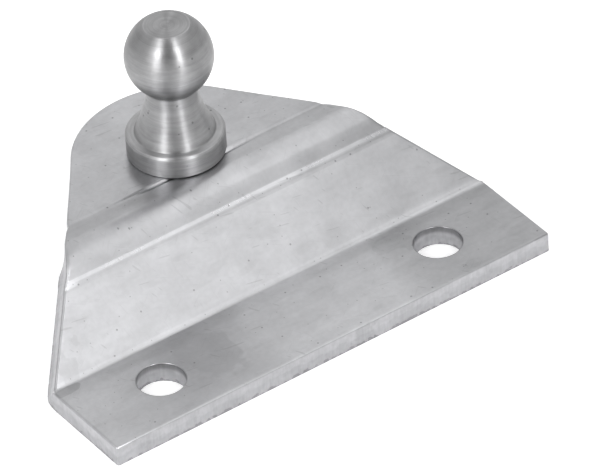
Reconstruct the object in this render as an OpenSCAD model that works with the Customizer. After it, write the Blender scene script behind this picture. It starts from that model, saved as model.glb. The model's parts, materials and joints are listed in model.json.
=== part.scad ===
// Gas-spring bracket: an offset plate with two screw holes, and a 10 mm ball stud riveted through it.
// The flange lies on the surface it is screwed to and the ball stands up on a raised pad behind it.
// The origin is midway between the two screw holes, on the face that meets the mounting surface.
// +X runs along the line of the holes, +Y runs from the flange to the ball and +Z points up.

/* [Plate] */
// Thickness of the sheet
plate_t = 2.5; // [1.5:0.1:4]
// Length of the flange along its front edge
flange_w = 58.5; // [50:0.5:80]
// Depth of the flange from its front edge to the lower bend
flange_d = 12.2; // [10.5:0.1:20]
// Height of the pad's underside above the mounting surface
rise = 9; // [6:0.5:16]
// Slope of the web between the flange and the pad, in degrees
slope = 42; // [30:1:60]
// Inner radius of the lower bend
lower_bend_r = 0.6; // [0.4:0.1:3]
// Inner radius of the upper bend
upper_bend_r = 1.7; // [0.4:0.1:3]
// Radius of the pad's rounded end
end_r = 12.2; // [10:0.1:16]
// Distance from the ball's axis back to the pad's rounded end
end_l = 11.6; // [10:0.1:18]
// Radius of the flange's two front corners
corner_r = 0.7; // [0.2:0.1:2]

/* [Screw holes] */
// Distance between the centres of the two holes
hole_spacing = 37.5; // [30:0.5:42]
// Diameter of each hole, for a 5 mm screw
hole_d = 5.5; // [4:0.1:6.5]
// Distance from the front edge to the holes' centres
hole_inset = 6.6; // [5:0.1:7]

/* [Ball stud] */
// Diameter of the ball
ball_d = 10; // [8:0.1:13]
// Height of the ball's centre above the pad
ball_h = 12.9; // [11:0.1:20]
// Diameter of the flat turned across the ball's top
flat_d = 5.2; // [1:0.1:7]
// Diameter of the neck where it meets the ball
neck_d = 6; // [4:0.1:7]
// Length of the straight neck between the cone and the ball
neck_l = 1.6; // [0.5:0.1:2.5]
// Diameter of the cone where it meets the collar
cone_d = 9.2; // [7.5:0.1:10.5]
// Diameter of the collar
collar_d = 11.2; // [10.6:0.1:16]
// Thickness of the collar
collar_t = 2.7; // [1.5:0.1:4]
// Diameter of the shank riveted through the pad
shank_d = 6; // [4:0.1:8]
// Diameter of the rivet head under the pad
rivet_d = 9; // [8.2:0.1:11]
// Height of the rivet head
rivet_h = 1.4; // [0.8:0.1:3]

/* [Hidden] */
$fn = 96;
corner_steps = 6;
bend_steps = 12;
end_steps = 24;
chamfer = 0.3;
cut = 1;
steel = [0.72, 0.72, 0.74];
turned_steel = [0.62, 0.62, 0.63];

// The sheet's middle line: it turns up through the lower bend, climbs the web and levels out again.
lower_mid_r = lower_bend_r + plate_t / 2;
upper_mid_r = upper_bend_r + plate_t / 2;
web_l = (rise - (lower_mid_r + upper_mid_r) * (1 - cos(slope))) / sin(slope);
lower_l = lower_mid_r * slope * PI / 180;
upper_l = upper_mid_r * slope * PI / 180;
bent_l = lower_l + web_l + upper_l;

// Places along Y, from the front edge to the rounded end.
front_y = -hole_inset;
bend_y = front_y + flange_d - lower_bend_r * tan(slope / 2);
pad_y = bend_y + (lower_mid_r + upper_mid_r) * sin(slope) + web_l * cos(slope);
ball_y = pad_y + max(collar_d, rivet_d) / 2;
rear_y = ball_y + end_l;
end_y = rear_y - end_r;
pad_top = rise + plate_t;

// The flat blank tapers straight from the flange's rear corners to a tangent of the rounded end.
half_w = flange_w / 2;
blank_l = bent_l + end_y - pad_y;
taper = 90 - atan(blank_l / half_w) - asin(end_r / norm([half_w, blank_l]));
function width_at(s) = half_w - s * tan(taper);

// A station along the sheet holds y and z of its middle, its lean and the half width there.
// The half width rounds the front corners, follows the taper through the bends and rounds the end.
flange_stations = [
    for (i = [0:corner_steps])
        let (a = 90 * i / corner_steps)
        [front_y + corner_r * (1 - cos(a)), plate_t / 2, 0, half_w - corner_r * (1 - sin(a))]];
lower_stations = [
    for (i = [0:bend_steps])
        let (a = slope * i / bend_steps)
        [bend_y + lower_mid_r * sin(a), plate_t / 2 + lower_mid_r * (1 - cos(a)), a,
         width_at(lower_l * i / bend_steps)]];
upper_stations = [
    for (i = [bend_steps:-1:0])
        let (a = slope * i / bend_steps)
        [pad_y - upper_mid_r * sin(a), pad_top - plate_t / 2 - upper_mid_r * (1 - cos(a)), a,
         width_at(bent_l - upper_l * i / bend_steps)]];
end_stations = [
    for (i = [0:end_steps])
        let (a = taper + (90 - taper) * i / (end_steps + 0.5))
        [end_y + end_r * sin(a), pad_top - plate_t / 2, 0, end_r * cos(a)]];
stations = concat(flange_stations, lower_stations, upper_stations, end_stations);

// The four corners of the sheet's section at a station, square to the sheet.
function section(p) =
    let (dy = sin(p[2]) * plate_t / 2, dz = cos(p[2]) * plate_t / 2)
    [[-p[3], p[0] + dy, p[1] - dz], [p[3], p[0] + dy, p[1] - dz],
     [p[3], p[0] - dy, p[1] + dz], [-p[3], p[0] - dy, p[1] + dz]];

// The bent sheet, cut square to its surface all round as a flat blank is.
module sheet() {
    last = 4 * (len(stations) - 1);
    polyhedron(
        points = [for (p = stations) for (c = section(p)) c],
        faces = concat(
            [[0, 1, 2, 3], [last + 3, last + 2, last + 1, last]],
            [for (k = [0:4:last - 4]) for (e = [0:3])
                let (f = (e + 1) % 4) [k + e, k + 4 + e, k + 4 + f]],
            [for (k = [0:4:last - 4]) for (e = [0:3])
                let (f = (e + 1) % 4) [k + e, k + 4 + f, k + f]]));
}

module mounting_plate() {
    color(steel)
        difference() {
            sheet();
            for (side = [-1, 1])
                translate([side * hole_spacing / 2, 0, -cut])
                    cylinder(d = hole_d, h = plate_t + 2 * cut);
            translate([0, ball_y, rise - cut]) cylinder(d = shank_d, h = plate_t + 2 * cut);
        }
}

// The ball, neck, cone, collar, shank and rivet head are one turned piece, shut by the riveting.
module ball_stud() {
    ball_r = ball_d / 2;
    flat_z = sqrt(ball_r * ball_r - flat_d * flat_d / 4);
    neck_z = ball_h - sqrt(ball_r * ball_r - neck_d * neck_d / 4);
    head_r = (rivet_d * rivet_d / 4 + rivet_h * rivet_h) / (2 * rivet_h);
    color(turned_steel)
        translate([0, ball_y, pad_top]) {
            translate([0, 0, ball_h])
                intersection() {
                    sphere(ball_r);
                    translate([0, 0, flat_z - ball_d]) cylinder(r = ball_r + cut, h = ball_d);
                }
            rotate_extrude()
                polygon([[0, ball_h], [neck_d / 2, ball_h], [neck_d / 2, neck_z - neck_l],
                         [cone_d / 2, collar_t], [collar_d / 2 - chamfer, collar_t],
                         [collar_d / 2, collar_t - chamfer], [collar_d / 2, 0],
                         [shank_d / 2, 0], [shank_d / 2, -plate_t], [0, -plate_t]]);
            translate([0, 0, -plate_t])
                intersection() {
                    translate([0, 0, head_r - rivet_h]) sphere(head_r);
                    translate([0, 0, -rivet_h]) cylinder(d = rivet_d, h = rivet_h);
                }
        }
}

mounting_plate();
ball_stud();
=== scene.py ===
import json
import math
from collections import namedtuple

import bmesh
import bpy
from mathutils import Matrix, Vector


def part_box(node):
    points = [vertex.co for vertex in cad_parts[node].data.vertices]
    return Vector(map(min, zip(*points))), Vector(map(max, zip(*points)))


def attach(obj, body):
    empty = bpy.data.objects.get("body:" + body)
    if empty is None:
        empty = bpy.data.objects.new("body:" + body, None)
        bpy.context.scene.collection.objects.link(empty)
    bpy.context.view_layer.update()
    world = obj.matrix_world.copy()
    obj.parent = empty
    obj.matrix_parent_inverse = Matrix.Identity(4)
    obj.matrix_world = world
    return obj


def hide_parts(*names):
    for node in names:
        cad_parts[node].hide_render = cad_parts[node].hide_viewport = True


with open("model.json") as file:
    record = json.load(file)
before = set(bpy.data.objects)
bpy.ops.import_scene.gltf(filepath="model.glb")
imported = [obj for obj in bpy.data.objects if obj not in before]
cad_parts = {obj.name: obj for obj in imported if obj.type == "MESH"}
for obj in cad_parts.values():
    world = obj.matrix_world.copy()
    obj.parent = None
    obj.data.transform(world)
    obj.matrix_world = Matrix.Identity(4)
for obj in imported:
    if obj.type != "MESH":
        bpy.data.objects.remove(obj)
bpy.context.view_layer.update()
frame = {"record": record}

bl_info = {
    "name": "Gas-spring ball bracket",
    "version": (1, 0, 0),
    "blender": (4, 5, 0),
    "location": "View3D > Sidebar > Bracket",
    "description": "Builds an offset plate bracket and its riveted ball stud around a CAD frame",
    "category": "Add Mesh",
}

MM = 0.001
NEAR = 0.002 * MM  # closer than this counts as the same place
SNAP = 1e-7  # how near a cut may pass a point before it goes through the point
CLEAR = 0.02 * MM  # room left inside the CAD's box
FAINT = 0.002  # a share of a push that is too small to matter
PLATE_LOW, PLATE_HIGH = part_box("mounting_plate")
STUD_LOW, STUD_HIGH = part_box("ball_stud")
MOUNTS = {mount["name"]: mount for mount in frame["record"]["mounts"]}
HOLES = MOUNTS["screw_holes"]["dims"]
BALL_CENTRE = Vector(MOUNTS["ball"]["pos_m"])
SHEET_T = 2.5 * MM
CREASE_ANGLE = {"sheet": 35, "stud": 14}  # in degrees: a sharper edge stays crisp


def length(name, default, description):
    """A size in metres."""
    return bpy.props.FloatProperty(
        name=name, default=default, description=description, unit="LENGTH", precision=5
    )


def angle(name, degrees, description):
    """An angle, given in degrees."""
    return bpy.props.FloatProperty(
        name=name, default=math.radians(degrees), description=description, subtype="ANGLE"
    )


def colour(name, default, description):
    """A colour as red, green and blue."""
    return bpy.props.FloatVectorProperty(
        name=name, default=default, description=description, subtype="COLOR",
        size=3, min=0.0, max=1.0,
    )


def share(name, default, description):
    """A number between 0 and 1."""
    return bpy.props.FloatProperty(
        name=name, default=default, description=description, subtype="FACTOR", min=0.0, max=1.0
    )


class SheetSizes(bpy.types.PropertyGroup):
    """Sizes of the pressed plate"""

    thickness: length("Thickness", SHEET_T, "Thickness of the sheet")
    front: length("Front edge", PLATE_LOW.y, "Place of the flange's front edge along Y")
    rear: length("Rear end", PLATE_HIGH.y - 0.5 * CLEAR, "Place of the pad's rounded end along Y")
    half_width: length("Half width", PLATE_HIGH.x - CLEAR, "Half the flange's length")
    rise: length("Rise", PLATE_HIGH.z - SHEET_T, "Height of the pad's underside")
    flange_depth: length("Flange depth", 11.97 * MM, "Front edge to the start of the lower bend")
    web_slope: angle("Web slope", 42, "Slope of the web")
    lower_radius: length("Lower bend", 0.6 * MM, "Inner radius of the lower bend")
    shoulder_slope: angle("Shoulder slope", 47, "Steeper slope just above the lower die line")
    shoulder_length: length("Shoulder length", 1.15 * MM, "Straight run above the lower die line")
    upper_radius: length("Upper bend", 2.0 * MM, "Inner radius of the upper bend")
    crown_slope: angle("Crown slope", 3, "Slight fall of the sheet between the bend and the pad")
    crown_length: length("Crown length", 2.25 * MM, "Length of that slight fall")
    end_radius: length("End radius", 12.2 * MM, "Radius of the pad's rounded end")
    corner_radius: length("Corner radius", 0.3 * MM, "Radius of the flange's front corners")
    hole_radius: length("Hole radius", HOLES["hole_r_mm"] * MM, "Radius of the screw holes")
    hole_spacing: length("Hole spacing", HOLES["spacing_x_mm"] * MM, "Centre to centre")
    edge_roll: length("Edge roll", 0.28 * MM, "Rounding that shearing leaves on the upper edges")
    edge_burr: length("Edge break", 0.05 * MM, "Small break on the lower edges")
    lip_roll: length("Hole lip roll", 0.12 * MM, "Rounding of the upper lip of each hole")
    die_line_depth: length("Die line depth", 0.04 * MM, "Depth of the lines the die pressed in")
    die_line_width: length("Die line width", 0.4 * MM, "Width of the lines the die pressed in")
    crease_depth: length("Crease depth", 0.45 * MM, "Depth of the crease in front of the stud")
    edge_swell: length("Edge swell", 0.85 * MM, "How far the bending squeezes the edges out")


class StudSizes(bpy.types.PropertyGroup):
    """Sizes of the turned ball stud"""

    ball_radius: length("Ball radius", 5.0 * MM, "Radius of the ball")
    flat_radius: length("Flat radius", 2.6 * MM, "Radius of the flat across the ball's top")
    neck_radius: length("Neck radius", 3.0 * MM, "Radius where the neck meets the ball")
    cone_top: length("Cone top", 7.3 * MM, "Height of the cone's top above the pad")
    cone_radius: length("Cone radius", 4.55 * MM, "Radius of the cone where it meets the collar")
    collar_radius: length("Collar radius", STUD_HIGH.x, "Radius of the collar")
    collar_height: length("Collar height", 2.7 * MM, "Height of the collar")
    collar_bevel: length("Collar bevel", 0.26 * MM, "Bevel round the collar's upper edge")
    shank_radius: length("Shank radius", 3.0 * MM, "Radius of the shank in the plate")
    rivet_radius: length("Rivet radius", 4.5 * MM, "Radius of the rivet head")
    rivet_height: length(
        "Rivet height", PLATE_HIGH.z - SHEET_T - STUD_LOW.z - CLEAR, "Height of the rivet head"
    )


class Finishes(bpy.types.PropertyGroup):
    """Colours and finishes"""

    sheet_colour: colour("Sheet", (0.60, 0.602, 0.618), "Colour of the rolled sheet")
    edge_colour: colour("Sheared edge", (0.44, 0.44, 0.455), "Colour of the sheared edges")
    stud_colour: colour("Stud", (0.38, 0.38, 0.386), "Colour of the turned steel")
    sheet_roughness: share("Sheet roughness", 0.32, "Roughness of the rolled sheet")
    edge_roughness: share("Edge roughness", 0.42, "Roughness of the sheared edges")
    stud_roughness: share("Stud roughness", 0.4, "Roughness of the turned steel")
    floor_colour: colour("Floor", (0.93, 0.93, 0.93), "Colour of the floor")


# ---------------------------------------------------------------- modelling


def deselect_all():
    """Leaves nothing selected, because an operator acts on all that is."""
    if bpy.context.object and bpy.context.object.mode != "OBJECT":
        bpy.ops.object.mode_set(mode="OBJECT")
    bpy.ops.object.select_all(action="DESELECT")


def only(piece):
    """Makes one object the selected and active one."""
    deselect_all()
    piece.select_set(True)
    bpy.context.view_layer.objects.active = piece


def start_editing(piece):
    """Opens one object in edit mode."""
    only(piece)
    bpy.ops.object.mode_set(mode="EDIT")


def stop_editing():
    """Goes back to object mode, which keeps the edits."""
    bpy.ops.object.mode_set(mode="OBJECT")


def choose(piece, mode, wanted):
    """Selects the points, edges or faces that pass a test, in edit mode."""
    bpy.ops.mesh.select_mode(type=mode)
    bpy.ops.mesh.select_all(action="DESELECT")
    shape = bmesh.from_edit_mesh(piece.data)
    for part in {"VERT": shape.verts, "EDGE": shape.edges, "FACE": shape.faces}[mode]:
        if wanted(part):
            part.select_set(True)
    shape.select_flush_mode()
    bmesh.update_edit_mesh(piece.data)


def apply_modifier(piece, kind, **settings):
    """Adds a modifier, sets it up and applies it."""
    only(piece)
    modifier = piece.modifiers.new(kind.title(), kind)
    for name, value in settings.items():
        setattr(modifier, name, value)
    bpy.ops.object.modifier_apply(modifier=modifier.name)


def press(piece, amount, direction, share_at):
    """Moves the surface along one axis, at each point by a share of the amount."""
    group = piece.vertex_groups.new(name="press")
    for point in piece.data.vertices:
        part = share_at(point.co)
        if part > FAINT:
            group.add([point.index], min(part, 1.0), "REPLACE")
    apply_modifier(
        piece, "DISPLACE", direction=direction, strength=amount, mid_level=0.0,
        vertex_group=group.name,
    )
    piece.vertex_groups.clear()


def hump(distance, spread):
    """A smooth hump: 1 at no distance, and near 0 beyond twice the spread."""
    return math.exp(-((distance / spread) ** 2))


def turned(name, profile, centre, steps):
    """Turns a profile of (radius, height) points about a vertical axis, as on a lathe."""
    deselect_all()
    first = Vector((profile[0][0], 0.0, profile[0][1])) + centre
    bpy.ops.mesh.primitive_plane_add(size=MM, location=first)
    piece = bpy.context.object
    piece.name = piece.data.name = name
    only(piece)
    bpy.ops.object.transform_apply(location=True, rotation=True, scale=True)
    start_editing(piece)
    bpy.ops.mesh.select_mode(type="VERT")
    bpy.ops.mesh.select_all(action="SELECT")
    bpy.ops.mesh.merge(type="CENTER")
    for (r0, z0), (r1, z1) in zip(profile, profile[1:]):
        bpy.ops.mesh.extrude_vertices_move(
            TRANSFORM_OT_translate={"value": (r1 - r0, 0.0, z1 - z0)}
        )
    bpy.ops.mesh.select_all(action="SELECT")
    bpy.ops.mesh.spin(
        steps=steps, angle=math.tau, center=centre, axis=(0.0, 0.0, 1.0), dupli=False
    )
    bpy.ops.mesh.select_all(action="SELECT")
    bpy.ops.mesh.remove_doubles(threshold=NEAR)
    bpy.ops.mesh.normals_make_consistent(inside=False)
    stop_editing()
    return piece


def arc(centre, radius, start, end, steps):
    """Points on an arc in the (radius, height) plane, from one angle in degrees to another."""
    points = []
    for i in range(steps + 1):
        a = math.radians(start + (end - start) * i / steps)
        points.append((centre[0] + radius * math.cos(a), centre[1] + radius * math.sin(a)))
    return points


def evenly(start, end, steps):
    """Points on a straight line of the profile, the ends included."""
    points = []
    for i in range(steps + 1):
        t = i / steps
        points.append((start[0] + (end[0] - start[0]) * t, start[1] + (end[1] - start[1]) * t))
    return points


def smooth(piece, degrees):
    """Smooth shading that keeps flat faces flat and corners crisp."""
    only(piece)
    bpy.ops.object.shade_smooth_by_angle(angle=math.radians(degrees))
    apply_modifier(piece, "WEIGHTED_NORMAL", weight=60, keep_sharp=True)


# ---------------------------------------------------------------- the plate


LOWER_FOLDS = 14
UPPER_FOLDS = 18
SHOULDER_START = 0.25 * MM  # how far above the lower die line the sheet turns steeper
HOLE_STEPS = 96
ROW_GAP = 1.3 * MM  # between even rows of points across the sheet
ROW_ROOM = 0.25 * MM  # an even row keeps this far from the others
ROWS_BY_LINE = (-3.4, -2.8, -2.2, -1.6, -1.0, -0.5, 0.0, 0.5, 1.0, 1.6)  # in half line widths
COLUMNS = 24


class Fold:
    """One small bend of the flat sheet: where along it, and by what angle."""

    def __init__(self, place, turn):
        self.place = place
        self.turn = turn


def bend_folds(start, radius, turn, steps):
    """A bend of the sheet's middle as small folds. Returns the folds and where the bend ends."""
    run = radius * abs(turn)
    folds = [Fold(start + run * (i + 0.5) / steps, turn / steps) for i in range(steps)]
    return folds, start + run


def plan_sheet(sizes):
    """Lays out the folds of the flat sheet, its die lines and its length."""
    half_t = sizes.thickness / 2
    lower = sizes.lower_radius + half_t
    upper = sizes.upper_radius + half_t
    steep, slope, crown = sizes.shoulder_slope, sizes.web_slope, sizes.crown_slope
    climbed = (
        lower * (1 - math.cos(slope))
        + sizes.shoulder_length * math.sin(steep)
        + upper * (math.cos(crown) - math.cos(steep))
        + sizes.crown_length * math.sin(crown)
    )
    web = (sizes.rise - climbed) / math.sin(slope)
    bend_start = sizes.front + sizes.flange_depth
    folds, place = bend_folds(bend_start, lower, slope, LOWER_FOLDS)
    web_start = place
    lower_line = place + web
    folds.append(Fold(lower_line + SHOULDER_START, steep - slope))
    upper_start = lower_line + sizes.shoulder_length
    more, place = bend_folds(upper_start, upper, crown - steep, UPPER_FOLDS)
    folds += more
    upper_line = place + sizes.crown_length
    folds.append(Fold(upper_line, -crown))
    spot = Vector((0.0, sizes.front, half_t))
    lean, last = 0.0, sizes.front
    for fold in folds:
        step = fold.place - last
        spot += Vector((0.0, math.cos(lean), math.sin(lean))) * step
        fold.spot = spot.copy()
        lean += fold.turn
        last = fold.place
    stretch = upper_line - spot.y
    return {
        "folds": folds,
        "bend_start": bend_start,
        "web_start": web_start,
        "lower_line": lower_line,
        "upper_line": upper_line,
        "stretch": stretch,
        "end": sizes.rear + stretch,
        "end_centre": sizes.rear + stretch - sizes.end_radius,
    }


def trim(place, outward):
    """Cuts away all that lies beyond a plane and closes the cut."""
    bpy.ops.mesh.select_all(action="SELECT")
    bpy.ops.mesh.bisect(
        plane_co=place, plane_no=outward, use_fill=True, clear_outer=True, threshold=SNAP
    )


def score(place, normal):
    """Cuts every face along a plane and keeps both sides."""
    bpy.ops.mesh.select_all(action="SELECT")
    bpy.ops.mesh.bisect(plane_co=place, plane_no=normal, threshold=SNAP)


def cut_blank(sizes, plan):
    """The flat sheet, cut to its outline from a plain strip."""
    deselect_all()
    middle = (sizes.front + plan["end"]) / 2
    bpy.ops.mesh.primitive_cube_add(
        size=1.0,
        location=(0.0, middle, sizes.thickness / 2),
        scale=(2 * sizes.half_width, plan["end"] - sizes.front, sizes.thickness),
    )
    piece = bpy.context.object
    piece.name = piece.data.name = "pressed_plate"
    bpy.ops.object.transform_apply(location=True, rotation=True, scale=True)
    start_editing(piece)
    run = plan["end_centre"] - plan["bend_start"]
    reach = math.hypot(sizes.half_width, run)
    taper = math.pi / 2 - math.atan2(run, sizes.half_width) - math.asin(sizes.end_radius / reach)
    plan["taper"] = taper
    facets = 22
    corner_facets = 5
    for side in (-1, 1):
        for i in range(1, corner_facets):
            a = math.pi / 2 * i / corner_facets
            out = Vector((side * math.sin(a), -math.cos(a), 0.0))
            centre = Vector((
                side * (sizes.half_width - sizes.corner_radius),
                sizes.front + sizes.corner_radius, 0.0,
            ))
            trim(centre + out * sizes.corner_radius, out)
        for i in range(facets):
            a = taper + (math.pi / 2 - taper) * i / facets
            out = Vector((side * math.cos(a), math.sin(a), 0.0))
            trim(Vector((0.0, plan["end_centre"], 0.0)) + out * sizes.end_radius, out)
    stop_editing()
    return piece


def stands_upright(face):
    """Whether a face of the flat sheet is a side face, not its top or underside."""
    return abs(face.normal.z) < 0.5


def roll_edges(piece, sizes):
    """Rounds the upper outline as shearing does, and breaks the lower one."""

    def rim_at(edge, height):
        level = all(abs(point.co.z - height) < NEAR for point in edge.verts)
        return level and any(stands_upright(face) for face in edge.link_faces)

    start_editing(piece)
    choose(piece, "EDGE", lambda edge: rim_at(edge, sizes.thickness))
    bpy.ops.mesh.bevel(offset=sizes.edge_roll, segments=5, profile=0.5, affect="EDGES")
    choose(piece, "EDGE", lambda edge: rim_at(edge, 0.0))
    bpy.ops.mesh.bevel(offset=sizes.edge_burr, segments=2, profile=0.5, affect="EDGES")
    stop_editing()


def punch(piece, radius, x, y, sizes):
    """Punches a round hole whose upper lip is drawn in a little by the punch."""
    over = 0.5 * MM  # how far the cutter stands out of the sheet
    burr = 0.03 * MM
    top, lip = sizes.thickness, sizes.lip_roll
    profile = [(0.0, -over), (radius + burr, -over), (radius + burr, 0.0), (radius, burr)]
    profile += arc((radius + lip, top - lip), lip, 180, 90, 5)
    profile += [(radius + lip, top + over), (0.0, top + over)]
    cutter = turned("hole_cutter", profile, Vector((x, y, 0.0)), HOLE_STEPS)
    apply_modifier(piece, "BOOLEAN", operation="DIFFERENCE", object=cutter, solver="EXACT")
    bpy.data.objects.remove(cutter, do_unlink=True)


def places_to_score(sizes, plan):
    """Places along the sheet that need a row of points: bends, die lines and even rows."""
    places = [fold.place for fold in plan["folds"]]
    for line in (plan["lower_line"], plan["upper_line"]):
        for part in ROWS_BY_LINE:
            places.append(line + part * sizes.die_line_width / 2)
    row = sizes.front + 1.0 * MM
    last = plan["end"] - 0.6 * MM
    while row < last:
        if all(abs(row - place) > ROW_ROOM for place in places):
            places.append(row)
        row += ROW_GAP
    return sorted(places)


def remember_blank(piece):
    """Keeps each point's place on the flat sheet, for the folds and for the finish."""
    note = piece.data.attributes.new("blank", "FLOAT_VECTOR", "POINT")
    for point, place in zip(piece.data.vertices, note.data):
        place.vector = point.co / MM


def press_die_lines(piece, sizes, plan):
    """Presses in the lines that the die's shoulders leave, and the step in front of the pad."""
    top = sizes.thickness - 1.2 * sizes.edge_roll
    width = sizes.die_line_width
    lower_groove = plan["lower_line"] - 0.58 * MM
    upper_groove = plan["upper_line"] - 0.1 * MM
    crease_line = plan["upper_line"] - 0.24 * MM
    lip_line = plan["upper_line"] + 0.12 * MM

    def groove(co):
        if co.z < top:
            return 0.0
        lower = hump(co.y - lower_groove, 0.5 * width)
        upper = hump(co.y - upper_groove, 0.45 * width)
        return max(lower, 0.6 * upper)

    def crease(co):
        """Deepest and widest under the stud, and gone a few millimetres to either side."""
        if co.z < top:
            return 0.0
        spread = (0.16 + 0.17 * hump(co.x, 5.2 * MM)) * MM
        return hump(co.y - crease_line, spread) * hump(co.x, 5.4 * MM)

    def lip(co):
        """The metal that the crease pushes up behind it."""
        if co.z < top:
            return 0.0
        return hump(co.y - lip_line, 0.16 * MM) * hump(co.x, 7.0 * MM)

    press(piece, -sizes.die_line_depth, "Z", groove)
    press(piece, -sizes.crease_depth, "Z", crease)
    press(piece, 0.13 * sizes.crease_depth, "Z", lip)


def swell_edges(piece, sizes, plan):
    """Squeezes the web's two edges out towards the upper bend, with a nick where the pad begins."""
    start, end = plan["bend_start"], plan["upper_line"]
    widest = plan["lower_line"] + 1.2 * MM
    slant = math.tan(plan["taper"])
    nick = 0.2 * sizes.edge_swell

    def share_out(co, side):
        """How far one edge stands out, as a share of the whole swell."""
        behind = co.y - start
        if co.x * side < 0.0 or behind < 0.0:
            return 0.0
        straight = behind * slant / sizes.edge_swell  # keeps inside the flange's length
        along_web = 1.0 - 0.25 * behind / (widest - start)
        to_pad = 0.75 - 0.4 * max(0.0, (co.y - widest) / (end - widest)) ** 2
        past_pad = 0.35 * hump(co.y - end, 5.0 * MM) if co.y > end else 1.0
        outline = sizes.half_width - behind * slant
        edge = min(1.0, abs(co.x) / max(outline, sizes.end_radius)) ** 6
        return min(straight, along_web, max(to_pad, 0.35), past_pad) * edge

    def share_in(co, side):
        """The nick in one edge where the pad begins."""
        if co.x * side < 0.0:
            return 0.0
        return hump(co.y - end, 0.45 * MM) * min(1.0, abs(co.x) / (14.0 * MM)) ** 4

    for side in (1, -1):
        press(piece, side * sizes.edge_swell, "X", lambda co: share_out(co, side))
        press(piece, -side * nick, "X", lambda co: share_in(co, side))


def name_sheared_faces(piece):
    """Gives the outline's side faces and the hole walls the sheared finish."""
    start_editing(piece)
    choose(piece, "FACE", stands_upright)
    piece.active_material_index = 1
    bpy.ops.object.material_slot_assign()
    stop_editing()


def fold_sheet(piece, plan):
    """Bends the sheet fold by fold: all that lies beyond a fold turns about it."""
    start_editing(piece)
    for fold in plan["folds"]:
        shape = bmesh.from_edit_mesh(piece.data)
        blank = shape.verts.layers.float_vector["blank"]
        place = (fold.place + NEAR) / MM
        choose(piece, "VERT", lambda point: point[blank].y > place)
        bpy.ops.transform.rotate(
            value=-fold.turn, orient_axis="X", orient_type="GLOBAL",
            center_override=fold.spot,
        )
    stop_editing()


class BRACKET_OT_plate(bpy.types.Operator):
    """Cuts, punches and bends the mounting plate"""

    bl_idname = "bracket.plate"
    bl_label = "Mounting plate"

    def execute(self, context):
        sizes = context.scene.bracket_sheet
        plan = plan_sheet(sizes)
        piece = cut_blank(sizes, plan)
        roll_edges(piece, sizes)
        for side in (-1, 1):
            punch(piece, sizes.hole_radius, side * sizes.hole_spacing / 2, 0.0, sizes)
        stud_place = BALL_CENTRE.y + plan["stretch"]
        punch(piece, context.scene.bracket_stud.shank_radius, 0.0, stud_place, sizes)
        start_editing(piece)
        for place in places_to_score(sizes, plan):
            score((0.0, place, 0.0), (0.0, 1.0, 0.0))
        for i in range(1, COLUMNS):
            place = sizes.half_width * (2 * i / COLUMNS - 1)
            score((place, 0.0, 0.0), (1.0, 0.0, 0.0))
        stop_editing()
        piece.data.materials.append(sheet_finish(context.scene.bracket_finish, sizes, plan))
        piece.data.materials.append(edge_finish(context.scene.bracket_finish, sizes))
        name_sheared_faces(piece)
        press_die_lines(piece, sizes, plan)
        swell_edges(piece, sizes, plan)
        remember_blank(piece)
        fold_sheet(piece, plan)
        smooth(piece, CREASE_ANGLE["sheet"])
        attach(piece, "root")
        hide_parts("mounting_plate")
        return {"FINISHED"}


# ---------------------------------------------------------------- the stud


STUD_STEPS = 160
BALL_STEPS = 64
CONE_STEPS = 26


def rivet_profile(sizes):
    """The rivet head, from the middle of its dome out, and up the shank to the pad's top."""
    under = -SHEET_T
    head, drop, shank = sizes.rivet_radius, sizes.rivet_height, sizes.shank_radius
    edge = 0.2 * MM
    profile = [(0.0, under - 0.9 * drop), (0.6 * MM, under - 0.94 * drop)]
    for part in (0.26, 0.4, 0.54, 0.66, 0.77, 0.86, 0.93, 0.97):
        profile.append((head * part, under - drop * (1 - 0.82 * part ** 3.2)))
    profile += arc((head - edge, under - edge), edge, -30, 70, 5)
    profile += [(head - 0.35 * MM, under), (shank, under), (shank, 0.0)]
    return profile


def collar_profile(sizes):
    """The collar's seat, its side, its bevel and its top, in to the foot of the cone."""
    out, bevel, top = sizes.collar_radius, sizes.collar_bevel, sizes.collar_height
    foot = sizes.cone_radius
    profile = evenly((sizes.shank_radius + 0.1 * MM, 0.0), (out - 0.3 * MM, 0.0), 3)
    profile += [(out - 0.12 * MM, 0.0), (out - 0.04 * MM, 0.05 * MM), (out, 0.14 * MM)]
    profile += evenly((out, 0.2 * MM), (out, top - bevel), 8)
    profile += [
        (out - 0.28 * bevel, top - 0.55 * bevel),
        (out - 0.6 * bevel, top - 0.22 * bevel),
        (out - bevel, top),
        (foot + 0.16 * MM, top),
        (foot + 0.05 * MM, top + 0.02 * MM),
    ]
    return profile


def cone_profile(sizes, neck_end):
    """The cone, slightly hollow, and the neck above it."""
    foot, foot_z = sizes.cone_radius - 0.03 * MM, sizes.collar_height + 0.1 * MM
    neck = sizes.neck_radius
    profile = []
    for i in range(CONE_STEPS + 1):
        part = i / CONE_STEPS
        hollow = 0.1 * MM * math.sin(math.pi * part)
        profile.append((
            foot + (neck - foot) * part - hollow,
            foot_z + (sizes.cone_top - foot_z) * part,
        ))
    profile += [
        (neck - 0.04 * MM, sizes.cone_top + 0.4 * MM),
        (neck - 0.06 * MM, sizes.cone_top + 0.9 * MM),
        (neck - 0.04 * MM, neck_end - 0.25 * MM),
    ]
    return profile


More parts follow.
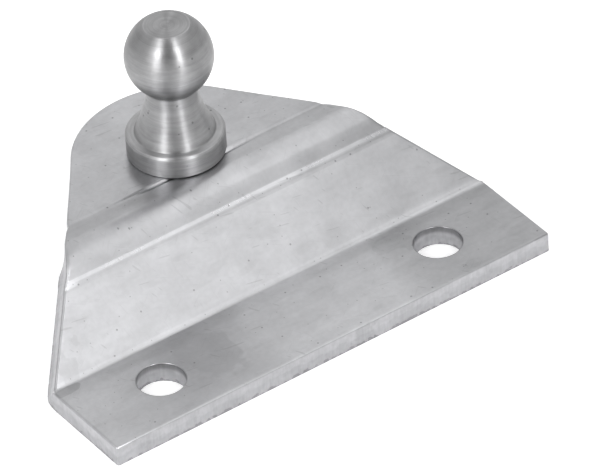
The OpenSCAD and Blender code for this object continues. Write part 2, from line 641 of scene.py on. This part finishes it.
def stud_profile(sizes):
    """The stud's profile from the middle of the rivet head up to the middle of the flat."""
    ball, neck, flat = sizes.ball_radius, sizes.neck_radius, sizes.flat_radius
    ball_z = BALL_CENTRE.z - PLATE_HIGH.z
    neck_end = ball_z - math.sqrt(ball ** 2 - neck ** 2)
    flat_z = ball_z + math.sqrt(ball ** 2 - flat ** 2)
    start = -math.degrees(math.acos(neck / ball))
    end = math.degrees(math.acos(flat / ball)) - 0.75  # stops short, which rounds the flat's rim
    profile = rivet_profile(sizes) + collar_profile(sizes) + cone_profile(sizes, neck_end)
    profile += arc((0.0, ball_z), ball, start, end, BALL_STEPS)
    profile += [
        (flat - 0.06 * MM, flat_z - 0.004 * MM),
        (flat - 0.16 * MM, flat_z - 0.008 * MM),
        (flat * 0.7, flat_z - 0.02 * MM),
        (flat * 0.35, flat_z - 0.035 * MM),
        (flat * 0.08, flat_z - 0.04 * MM),
        (0.0, flat_z - 0.03 * MM),
    ]
    return profile


class BRACKET_OT_stud(bpy.types.Operator):
    """Turns the ball stud and its rivet head"""

    bl_idname = "bracket.stud"
    bl_label = "Ball stud"

    def execute(self, context):
        sizes = context.scene.bracket_stud
        foot = Vector((BALL_CENTRE.x, BALL_CENTRE.y, PLATE_HIGH.z))
        piece = turned("turned_ball_stud", stud_profile(sizes), foot, STUD_STEPS)
        piece.data.materials.append(turned_finish(context.scene.bracket_finish, sizes))
        smooth(piece, CREASE_ANGLE["stud"])
        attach(piece, "root")
        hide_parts("ball_stud")
        return {"FINISHED"}


# ---------------------------------------------------------------- finishes


class Recipe:
    """A finish in the making: adds nodes, sets their inputs and joins them up."""

    def __init__(self, tree):
        self.tree = tree

    def give(self, socket, value):
        """Joins a socket to another node, or sets its own value."""
        if isinstance(value, bpy.types.NodeSocket):
            self.tree.links.new(value, socket)
        else:
            socket.default_value = value

    def node(self, kind, inputs, **settings):
        """Adds a node, with its settings and its inputs."""
        node = self.tree.nodes.new(kind)
        for name, value in settings.items():
            setattr(node, name, value)
        for name, value in inputs.items():
            self.give(node.inputs[name], value)
        return node

    def reckon(self, operation, *values):
        """A sum, product or other result of one or two values."""
        node = self.node("ShaderNodeMath", dict(enumerate(values)), operation=operation)
        return node.outputs[0]

    def product(self, *values):
        """All the values multiplied together."""
        result = values[0]
        for value in values[1:]:
            result = self.reckon("MULTIPLY", result, value)
        return result

    def total(self, *values):
        """All the values added together."""
        result = values[0]
        for value in values[1:]:
            result = self.reckon("ADD", result, value)
        return result

    def most(self, *values):
        """The largest of the values."""
        largest = values[0]
        for value in values[1:]:
            largest = self.reckon("MAXIMUM", largest, value)
        return largest

    def band(self, value, start, end, low=0.0, high=1.0):
        """Goes smoothly from low to high as the value goes from start to end."""
        inputs = {"Value": value, "From Min": start, "From Max": end, "To Min": low, "To Max": high}
        node = self.node("ShaderNodeMapRange", inputs, interpolation_type="SMOOTHSTEP")
        return node.outputs["Result"]

    def stripe(self, value, start, end, soft):
        """1 between two places and 0 outside them, with soft sides."""
        rise = self.band(value, start - soft, start + soft)
        fall = self.band(value, end - soft, end + soft, 1.0, 0.0)
        return self.product(rise, fall)

    def tinted(self, tone, *marks):
        """Multiplies a tone by each mark's factor, where the mark is."""
        for mask, factor in marks:
            tone = self.product(tone, self.band(mask, 0.0, 1.0, 1.0, factor))
        return tone

    def moved(self, place, scale=(1.0, 1.0, 1.0), turn=0.0, shift=(0.0, 0.0, 0.0)):
        """A place that is stretched, turned in degrees about Z and shifted."""
        inputs = {
            "Vector": place, "Scale": scale, "Rotation": (0.0, 0.0, math.radians(turn)),
            "Location": shift,
        }
        return self.node("ShaderNodeMapping", inputs).outputs["Vector"]

    def noise(self, place, scale, detail=2.0, rough=0.5):
        """Soft random light and dark."""
        inputs = {"Vector": place, "Scale": scale, "Detail": detail, "Roughness": rough}
        return self.node("ShaderNodeTexNoise", inputs).outputs["Fac"]

    def clouds(self, place, scale, low, high, detail=2.0):
        """Noise brought between two values."""
        return self.band(self.noise(place, scale, detail), 0.3, 0.7, low, high)

    def scratches(self, place, turn, long, wide, rare):
        """Thin marks that run one way, in millimetres: 1 on a mark and 0 off it."""
        along = self.moved(self.moved(place, turn=turn), scale=(1 / long, 1 / wide, 1.0))
        return self.band(self.noise(along, 1.0, 0.0), rare, rare + 0.05)

    def pits(self, place, scale, size, kept, flat=True):
        """Small round pits in some cells of a random net: 1 in a pit and 0 outside it."""
        node = self.node(
            "ShaderNodeTexVoronoi", {"Vector": place, "Scale": scale},
            voronoi_dimensions="2D" if flat else "3D",
        )
        spot = self.band(node.outputs["Distance"], size, 0.6 * size)
        chosen = self.band(node.outputs["Color"], kept, kept - 0.02)
        return self.product(spot, chosen)

    def patch(self, place, centre, radii, ragged):
        """A ragged oval patch, 1 inside and 0 outside, with its centre and radii in mm."""
        scale = (1 / radii[0], 1 / radii[1], 0.0)
        shift = (-centre[0] / radii[0], -centre[1] / radii[1], 0.0)
        local = self.moved(place, scale=scale, shift=shift)
        away = self.node("ShaderNodeVectorMath", {0: local}, operation="LENGTH").outputs["Value"]
        rough = self.clouds(place, 0.35, -ragged, ragged, 3.0)
        return self.band(self.total(away, rough), 1.0, 0.75)

    def finish(self, shader, metal, tone, roughness, height):
        """Joins a metal's colour, its roughness and its relief in millimetres to the shader."""
        toned = self.node("ShaderNodeVectorMath", {0: metal, "Scale": tone}, operation="SCALE")
        self.give(shader.inputs["Base Color"], toned.outputs["Vector"])
        self.give(shader.inputs["Roughness"], roughness)
        relief = self.node("ShaderNodeBump", {"Height": height, "Distance": MM, "Strength": 1.0})
        self.give(shader.inputs["Normal"], relief.outputs["Normal"])
        shader.inputs["Metallic"].default_value = 1.0


def new_material(name):
    """A new material with its shader and a recipe to fill."""
    material = bpy.data.materials.new(name)
    material.use_nodes = True
    return material, material.node_tree.nodes["Principled BSDF"], Recipe(material.node_tree)


def blank_place(recipe):
    """The place on the flat sheet, in millimetres, and its three parts."""
    note = recipe.node("ShaderNodeAttribute", {}, attribute_name="blank")
    parts = recipe.node("ShaderNodeSeparateXYZ", {0: note.outputs["Vector"]})
    return note.outputs["Vector"], parts.outputs["X"], parts.outputs["Y"], parts.outputs["Z"]


def from_hole(recipe, x, y):
    """Distance from the middle of the nearer screw hole, in millimetres."""
    across = recipe.reckon("SUBTRACT", recipe.reckon("ABSOLUTE", x), HOLES["spacing_x_mm"] / 2)
    squares = recipe.total(recipe.product(across, across), recipe.product(y, y))
    return recipe.reckon("SQRT", squares)


def sheet_finish(finish, sizes, plan):
    """Dull rolled stainless: clouds, faint rolling streaks, scratches and pits, with painted shade
    and painted highlights along the bends and die lines and painted light by the stud.
    """
    material, shader, recipe = new_material("mill_finish_stainless")
    place, x, y, _ = blank_place(recipe)
    bend, web = plan["bend_start"] / MM, plan["web_start"] / MM
    lower, upper = plan["lower_line"] / MM, plan["upper_line"] / MM
    hole = sizes.hole_radius / MM

    # the rolled surface and its wear
    rolling = recipe.moved(place, scale=(0.1, 0.8, 1.0))
    clouds = recipe.product(
        recipe.clouds(place, 0.07, 0.94, 1.04, 3.0),
        recipe.clouds(rolling, 1.0, 0.97, 1.03, 4.0),
        recipe.clouds(place, 0.3, 0.955, 1.03, 4.0),
        recipe.clouds(place, 1.6, 0.975, 1.02, 1.0),
    )
    fine = recipe.most(
        recipe.scratches(place, 24, 3.0, 0.14, 0.76),
        recipe.scratches(place, -38, 2.2, 0.12, 0.76),
        recipe.scratches(place, 80, 1.8, 0.13, 0.77),
    )
    coarse = recipe.most(
        recipe.scratches(place, 8, 3.0, 0.3, 0.8),
        recipe.scratches(place, 62, 1.6, 0.34, 0.8),
    )
    pits = recipe.most(
        recipe.pits(place, 0.32, 0.045, 0.33),
        recipe.pits(place, 0.75, 0.06, 0.24),
    )
    smeared = recipe.moved(place, scale=(0.35, 1.1, 1.0))
    smears = recipe.band(recipe.noise(smeared, 0.7, 1.0), 0.58, 0.72)
    uneven = recipe.clouds(recipe.moved(place, scale=(1.0, 0.0, 0.0)), 0.16, 0.55, 1.0, 3.0)

    # bands along each bend and die line: painted shade and painted highlights
    # painted shade: a darker band on the flange beside the lower bend
    painted_shade_beside_bend = recipe.stripe(y, bend - 1.7, bend + 0.4, 0.5)
    # painted highlight: a lighter strip where the web leaves the lower bend, uneven along it
    painted_highlight_above_bend = recipe.product(recipe.stripe(y, web + 0.05, web + 0.4, 0.14), uneven)
    # painted highlight along the lower die line; its roughness is also lowered below
    line = recipe.product(recipe.stripe(y, lower - 0.2, lower + 0.36, 0.14), uneven)
    # painted shade: a dark band just below the lower die line, stronger to the right
    painted_shade_under_line = recipe.product(
        recipe.stripe(y, lower - 0.9, lower - 0.36, 0.14), recipe.band(x, -14.0, 8.0, 0.3, 1.0)
    )
    # painted shade over the steeper shoulder above the lower die line, stronger to the right
    steep = recipe.product(
        recipe.stripe(y, lower + 0.4, lower + 1.8, 0.25), recipe.band(x, -16.0, 6.0, 0.35, 1.0)
    )
    # painted highlight across the middle of the upper bend
    painted_highlight_crest = recipe.stripe(y, upper - 3.9, upper - 2.5, 0.4)
    # painted shade: a darker strip below the crease in front of the pad
    painted_shade_under_lip = recipe.stripe(y, upper - 2.1, upper - 0.1, 0.25)
    # painted highlight along the lip behind the crease
    lip = recipe.stripe(y, upper - 0.1, upper + 0.2, 0.1)
    # painted shade: a dark ring on each screw hole's lip, which dims its highlight
    painted_shade_hole_rim = recipe.stripe(from_hole(recipe, x, y), hole, hole + 0.13, 0.05)

    # stains and patches of darker tone; painted light where the stud shades and is reflected in the
    # bend; painted shade towards the right-hand end; darker tone over the right-hand flange
    stain = recipe.patch(place, (-12.2, 0.4), (3.6, 5.4), 0.2)
    near_hole = recipe.patch(place, (15.2, 2.6), (2.6, 1.5), 0.6)
    squeezed = recipe.patch(place, (-28.3, 5.2), (1.6, 0.5), 1.0)
    worn_corner = recipe.patch(place, (-26.4, 9.0), (2.0, 2.6), 0.9)
    # painted light: lifts the shade and reflection the stud casts beside the collar and on the upper
    # bend
    painted_light_by_collar = recipe.patch(place, (-3.9, 20.9), (2.8, 1.6), 0.2)
    painted_light_on_bend = recipe.product(
        recipe.stripe(x, -12.0, -7.0, 2.5), recipe.stripe(y, upper - 2.9, upper - 1.6, 0.6)
    )
    painted_fill_light = recipe.most(recipe.product(painted_light_by_collar, 0.5), painted_light_on_bend)
    # painted shade: the web and pad darken towards the right-hand end
    painted_shade_right_end = recipe.product(recipe.band(x, -4.0, 27.0), recipe.band(y, web, web + 1.0))
    right_flange = recipe.product(
        recipe.band(x, 6.0, 20.0), recipe.band(y, bend + 0.2, bend - 0.4)
    )

    tone = recipe.tinted(
        clouds,
        (fine, 0.965), (coarse, 0.87), (pits, 0.6), (smears, 0.95),
        (painted_shade_beside_bend, 0.92), (painted_highlight_above_bend, 1.08), (line, 1.24), (painted_shade_under_line, 0.87),
        (steep, 0.86), (painted_highlight_crest, 1.07), (painted_shade_under_lip, 0.88), (lip, 1.06), (painted_shade_hole_rim, 0.78),
        (stain, 0.89), (near_hole, 0.93), (squeezed, 0.82), (worn_corner, 0.93),
        (painted_fill_light, 1.2), (painted_shade_right_end, 0.88), (right_flange, 0.7),
    )
    rough = finish.sheet_roughness
    roughness = recipe.total(
        recipe.clouds(place, 0.2, rough - 0.03, rough + 0.03, 1.0),
        recipe.product(fine, 0.08),
        recipe.product(stain, 0.05),
        recipe.product(line, -0.06),
    )
    height = recipe.total(
        recipe.product(recipe.noise(place, 0.13, 1.0), 0.09),
        recipe.product(recipe.noise(place, 2.0, 1.0), 0.004),
        recipe.product(recipe.noise(rolling, 4.0, 1.0), 0.003),
        recipe.product(coarse, -0.002),
        recipe.product(fine, -0.001),
        recipe.product(pits, -0.006),
    )
    recipe.finish(shader, finish.sheet_colour, tone, roughness, height)
    return material


def edge_finish(finish, sizes):
    """A sheared edge: smooth and lightly scored above, torn and grainy below, with a ragged burr
    whose darkening is painted shadow, and painted shade under the hole rims.
    """
    material, shader, recipe = new_material("sheared_edge_stainless")
    place, x, y, z = blank_place(recipe)
    thick = sizes.thickness / MM
    hole = sizes.hole_radius / MM
    scored = recipe.moved(place, scale=(1.0, 1.0, 0.12))
    border = recipe.total(z, recipe.clouds(scored, 0.8, -0.25, 0.25, 3.0))
    torn = recipe.band(border, 0.6 * thick, 0.48 * thick)
    grain = recipe.noise(place, 3.0, 2.0, 0.6)
    scores = recipe.noise(scored, 3.6, 2.0, 0.6)
    # the burr's relief is its own; its darkening in the tone is painted shadow
    ragged = recipe.total(z, recipe.clouds(place, 1.4, -0.35, 0.3, 4.0))
    burr = recipe.band(ragged, 0.22, 0.08)
    dents = recipe.patch(place, (3.4, -6.5), (1.9, 1.2), 0.8)
    # painted shade on the hole walls just under the rim
    in_hole = recipe.band(from_hole(recipe, x, y), hole + 0.7, hole + 0.5)
    painted_shade_under_rim = recipe.product(in_hole, recipe.band(z, thick - 1.2, thick - 0.35))
    clouds = recipe.product(
        recipe.clouds(place, 0.35, 0.94, 1.06, 4.0),
        recipe.clouds(place, 1.6, 0.96, 1.04, 1.0),
        recipe.band(scores, 0.3, 0.7, 0.96, 1.04),
    )
    tone = recipe.tinted(clouds, (torn, 0.96), (burr, 0.72), (dents, 0.9), (painted_shade_under_rim, 0.6))
    rough = finish.edge_roughness
    roughness = recipe.total(
        recipe.clouds(place, 0.6, rough - 0.05, rough + 0.03, 3.0), recipe.product(torn, 0.1)
    )
    height = recipe.total(
        recipe.product(scores, 0.005),
        recipe.product(grain, torn, 0.014),
        recipe.product(burr, 0.02),
        recipe.product(recipe.noise(place, 0.5, 2.0), 0.04),
    )
    recipe.finish(shader, finish.edge_colour, tone, roughness, height)
    return material


def turned_finish(finish, sizes):
    """Turned stainless: fine rings round the axis in the colour, the gloss and the relief, with
    painted shade under the ball and on the collar's side, and painted light on the flat and the
    collar's top.
    """
    material, shader, recipe = new_material("turned_stainless")
    at = recipe.node("ShaderNodeTexCoord", {}).outputs["Object"]
    shift = (-BALL_CENTRE.x / MM, -BALL_CENTRE.y / MM, 0.0)
    place = recipe.moved(at, scale=(1 / MM, 1 / MM, 1 / MM), shift=shift)
    parts = recipe.node("ShaderNodeSeparateXYZ", {0: place})
    x, y, z = parts.outputs["X"], parts.outputs["Y"], parts.outputs["Z"]
    out = recipe.reckon("SQRT", recipe.total(recipe.product(x, x), recipe.product(y, y)))
    ring = recipe.node("ShaderNodeCombineXYZ", {0: out, 1: 0.0, 2: z}).outputs[0]
    drawn_out = {0: recipe.product(x, 0.12), 1: recipe.product(y, 0.12), 2: recipe.total(z, out)}
    wavering = recipe.node("ShaderNodeCombineXYZ", drawn_out).outputs[0]

    # rings left by the lathe, and small pits
    coarse = recipe.noise(ring, 1.7, 2.0)
    fine = recipe.noise(wavering, 3.4, 3.0, 0.6)
    finest = recipe.noise(ring, 11.0, 1.0)
    pits = recipe.pits(place, 1.1, 0.2, 0.3, flat=False)

    # heights and distances from the axis, in millimetres
    ball = BALL_CENTRE.z / MM
    collar_top = (PLATE_HIGH.z + sizes.collar_height) / MM
    collar = sizes.collar_radius / MM
    cone = sizes.cone_radius / MM
    flat = sizes.flat_radius / MM
    # painted light over the ball's flat top, and a painted highlight round its rim
    painted_light_on_flat = recipe.band(z, ball + 4.15, ball + 4.2)
    painted_highlight_flat_rim = recipe.product(painted_light_on_flat, recipe.stripe(out, flat - 0.1, flat + 0.02, 0.03))
    # painted shade over the ball's underside, down to the neck
    painted_shade_under_ball = recipe.product(
        recipe.band(z, ball, ball - 3.6), recipe.band(z, ball - 4.3, ball - 3.95)
    )
    # painted light on the collar's top ring beside the cone's foot
    step = recipe.product(
        recipe.stripe(z, collar_top - 0.1, collar_top + 0.1, 0.04),
        recipe.band(out, cone + 0.05, cone + 0.11),
    )
    # painted shade on the collar's side below its bevel
    painted_shade_collar_side = recipe.product(
        recipe.band(z, collar_top - 0.3, collar_top - 0.5),
        recipe.band(out, collar - 0.3, collar - 0.1),
    )

    rings = recipe.product(
        recipe.band(coarse, 0.3, 0.7, 0.95, 1.05),
        recipe.band(fine, 0.3, 0.7, 0.9, 1.09),
        recipe.band(finest, 0.3, 0.7, 0.95, 1.05),
        recipe.clouds(place, 0.5, 0.95, 1.05, 4.0),
    )
    tone = recipe.tinted(
        rings,
        (pits, 0.6), (painted_shade_under_ball, 0.45), (step, 1.25), (painted_light_on_flat, 1.1), (painted_highlight_flat_rim, 1.15),
        (painted_shade_collar_side, 0.85),
    )
    rough = finish.stud_roughness
    roughness = recipe.total(
        recipe.band(fine, 0.3, 0.7, rough - 0.05, rough + 0.06),
        recipe.clouds(place, 0.7, -0.03, 0.03, 3.0),
    )
    height = recipe.total(
        recipe.product(coarse, 0.012), recipe.product(fine, 0.012), recipe.product(finest, 0.002)
    )
    recipe.finish(shader, finish.stud_colour, tone, roughness, height)
    # the rings draw the sheen out along the axis
    shader.inputs["Anisotropic"].default_value = 0.85
    shader.inputs["Anisotropic Rotation"].default_value = 0.25
    tangent = recipe.node("ShaderNodeTangent", {}, direction_type="RADIAL", axis="Z")
    recipe.give(shader.inputs["Tangent"], tangent.outputs["Tangent"])
    return material


# ---------------------------------------------------------------- the stage


CAMERA_AZIMUTH = math.radians(33.09)
CAMERA_HEIGHT = math.radians(38.28)
CAMERA_ROLL = math.radians(-4.18)
CAMERA_DISTANCE = 888.2 * MM
CAMERA_AIM = Vector((0.0, 13.4, 6.0)) * MM
CAMERA_SLIDE = Vector((-7.912, 1.224)) * MM
CAMERA_LENS = 481.05
CAMERA_SENSOR = 36.0
CAMERA_REACH = (0.01, 20.0)
FLOOR_SIZE = 6.0
FLOOR_GAP = 0.02 * MM  # between the floor and the bracket

# Each softbox has a turn from the camera's side and a height in degrees, a distance, a width and
# a height in metres, and its power in watts.
Softbox = namedtuple("Softbox", "name turn rise distance wide tall watts")
SOFTBOXES = (
    Softbox("strip_left", -35, 37, 0.6, 0.14, 0.52, 1.33),
    Softbox("strip_right", 31, 37, 0.6, 0.11, 0.52, 1.22),
    Softbox("ramp_left", -51, 40, 0.6, 0.24, 0.38, 0.38),
    Softbox("ramp_right", 42, 38, 0.6, 0.12, 0.34, 0.12),
    Softbox("bend_light", 109, 60, 0.5, 0.85, 0.18, 0.27),
    Softbox("side_left", -85, 28, 0.6, 0.5, 0.5, 0.13),
    Softbox("back", 187, 34, 0.8, 0.75, 0.4, 0.26),
)


def camera_axes():
    """The camera's forward, right and up directions."""
    a, e, roll = CAMERA_AZIMUTH, CAMERA_HEIGHT, CAMERA_ROLL
    ahead = Vector((math.sin(a) * math.cos(e), math.cos(a) * math.cos(e), -math.sin(e)))
    level = Vector((math.cos(a), -math.sin(a), 0.0))
    lift = level.cross(ahead)
    right = level * math.cos(roll) + lift * math.sin(roll)
    up = lift * math.cos(roll) - level * math.sin(roll)
    return ahead, right, up


def add_camera():
    """A long lens that looks down at the bracket from the front right."""
    ahead, right, up = camera_axes()
    eye = CAMERA_AIM - right * CAMERA_SLIDE.x - up * CAMERA_SLIDE.y - ahead * CAMERA_DISTANCE
    data = bpy.data.cameras.new("camera")
    data.lens = CAMERA_LENS
    data.sensor_width = CAMERA_SENSOR
    data.clip_start, data.clip_end = CAMERA_REACH
    camera = bpy.data.objects.new("camera", data)
    bpy.context.scene.collection.objects.link(camera)
    camera.matrix_world = Matrix((
        (right.x, up.x, -ahead.x, eye.x),
        (right.y, up.y, -ahead.y, eye.y),
        (right.z, up.z, -ahead.z, eye.z),
        (0.0, 0.0, 0.0, 1.0),
    ))
    bpy.context.scene.camera = camera


def add_softbox(box):
    """A softbox that faces the bracket, out of the camera's sight."""
    a = CAMERA_AZIMUTH - math.radians(box.turn)
    e = math.radians(box.rise)
    away = Vector((-math.sin(a) * math.cos(e), -math.cos(a) * math.cos(e), math.sin(e)))
    data = bpy.data.lights.new(box.name, "AREA")
    data.shape = "RECTANGLE"
    data.size = box.wide
    data.size_y = box.tall
    data.energy = box.watts
    light = bpy.data.objects.new(box.name, data)
    bpy.context.scene.collection.objects.link(light)
    light.location = CAMERA_AIM + away * box.distance
    light.rotation_euler = (-away).to_track_quat("-Z", "Y").to_euler()
    light.visible_camera = False


def floor_finish(finish):
    """White paper that glows a little near the bracket, so that no shadow greys it."""
    material, shader, recipe = new_material("floor_paper")
    at = recipe.node("ShaderNodeTexCoord", {}).outputs["Object"]
    away = recipe.node("ShaderNodeVectorMath", {0: at}, operation="LENGTH").outputs["Value"]
    shader.inputs["Base Color"].default_value = (*finish.floor_colour, 1.0)
    shader.inputs["Roughness"].default_value = 0.9
    shader.inputs["Emission Color"].default_value = (1.0, 1.0, 1.0, 1.0)
    glow = recipe.band(away, 0.07, 0.2, 0.33, 0.0)
    recipe.give(shader.inputs["Emission Strength"], glow)
    return material


def studio_light():
    """A pale room that is darker behind the camera."""
    world = bpy.data.worlds.new("studio")
    world.use_nodes = True
    recipe = Recipe(world.node_tree)
    at = recipe.node("ShaderNodeTexCoord", {}).outputs["Generated"]
    ahead = camera_axes()[0]
    facing = recipe.node("ShaderNodeVectorMath", {0: at, 1: -ahead}, operation="DOT_PRODUCT")
    light = recipe.band(facing.outputs["Value"], 0.8, 0.93, 0.58, 0.22)
    back = world.node_tree.nodes["Background"]
    back.inputs["Color"].default_value = (1.0, 1.0, 1.0, 1.0)
    recipe.give(back.inputs["Strength"], light)
    return world


class BRACKET_OT_stage(bpy.types.Operator):
    """Sets the floor, the lights and the camera"""

    bl_idname = "bracket.stage"
    bl_label = "Stage"

    def execute(self, context):
        scene = context.scene
        scene.view_settings.view_transform = "Standard"
        deselect_all()
        level = PLATE_LOW.z - FLOOR_GAP
        bpy.ops.mesh.primitive_plane_add(size=FLOOR_SIZE, location=(0.0, 0.0, level))
        floor = context.object
        floor.name = floor.data.name = "floor"
        bpy.ops.object.transform_apply(location=True, rotation=True, scale=True)
        floor.data.materials.append(floor_finish(scene.bracket_finish))
        scene.world = studio_light()
        for box in SOFTBOXES:
            add_softbox(box)
        add_camera()
        return {"FINISHED"}


class BRACKET_PT_panel(bpy.types.Panel):
    """Lists the bracket's pieces and its stage"""

    bl_label = "Ball bracket"
    bl_idname = "BRACKET_PT_panel"
    bl_space_type = "VIEW_3D"
    bl_region_type = "UI"
    bl_category = "Bracket"

    def draw(self, context):
        for kind in PIECES:
            self.layout.operator(kind.bl_idname)


GROUPS = (SheetSizes, StudSizes, Finishes)
PIECES = (BRACKET_OT_plate, BRACKET_OT_stud, BRACKET_OT_stage)
CLASSES = (*GROUPS, *PIECES, BRACKET_PT_panel)


def register():
    for kind in CLASSES:
        bpy.utils.register_class(kind)
    bpy.types.Scene.bracket_sheet = bpy.props.PointerProperty(type=SheetSizes)
    bpy.types.Scene.bracket_stud = bpy.props.PointerProperty(type=StudSizes)
    bpy.types.Scene.bracket_finish = bpy.props.PointerProperty(type=Finishes)


def unregister():
    del bpy.types.Scene.bracket_finish
    del bpy.types.Scene.bracket_stud
    del bpy.types.Scene.bracket_sheet
    for kind in reversed(CLASSES):
        bpy.utils.unregister_class(kind)


def main():
    """Builds the bracket and its stage."""
    register()
    bpy.ops.bracket.plate()
    bpy.ops.bracket.stud()
    bpy.ops.bracket.stage()


if __name__ == "__main__":
    main()
